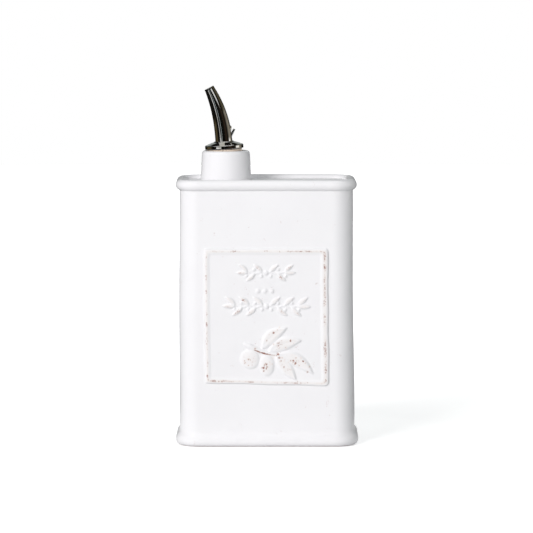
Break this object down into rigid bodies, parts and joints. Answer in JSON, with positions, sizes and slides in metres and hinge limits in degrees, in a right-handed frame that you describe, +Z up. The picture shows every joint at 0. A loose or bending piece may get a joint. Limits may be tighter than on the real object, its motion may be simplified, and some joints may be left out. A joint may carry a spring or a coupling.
{
  "type": "olive oil can",
  "caption": "Slip-cast glazed ceramic can for olive oil: rounded rectangular body with beaded rims, raised front panel and round neck closed by a cork with a curved chrome pouring spout.",
  "frame": {"origin": "middle of the underside, on the surface that the can stands on", "axes": "+Z up; the front with the raised panel faces -Y; the neck stands towards -X"},
  "size_m": [0.1206, 0.0652, 0.2356],
  "materials": {
    "white_glaze": "white tin glaze over terracotta, worn to the clay on the panel's edges",
    "natural_cork": "natural cork, matte",
    "chromed_flange": "polished chrome",
    "chromed_spout": "polished chrome",
    "chromed_stem": "polished chrome",
    "chromed_air_tube": "polished chrome"
  },
  "bodies": {
    "can": {"can_body": "white_glaze"},
    "stopper": {"cork_stopper": "natural_cork"},
    "pourer": {"pour_spout": "chromed_spout", "spout_flange": "chromed_flange", "stem_tube": "chromed_stem", "air_tube": "chromed_air_tube"}
  },
  "joints": [
    {"name": "stopper_lift", "type": "slide", "parent": "can", "child": "stopper", "axis": [-0.0593, 0, 0.9982], "range_m": [0, 0.045]},
    {"name": "spout_turn", "type": "hinge", "parent": "stopper", "child": "pourer", "pos_m": [-0.02775, 0, 0.1931], "axis": [-0.0593, 0, 0.9982], "continuous": true}
  ]
}
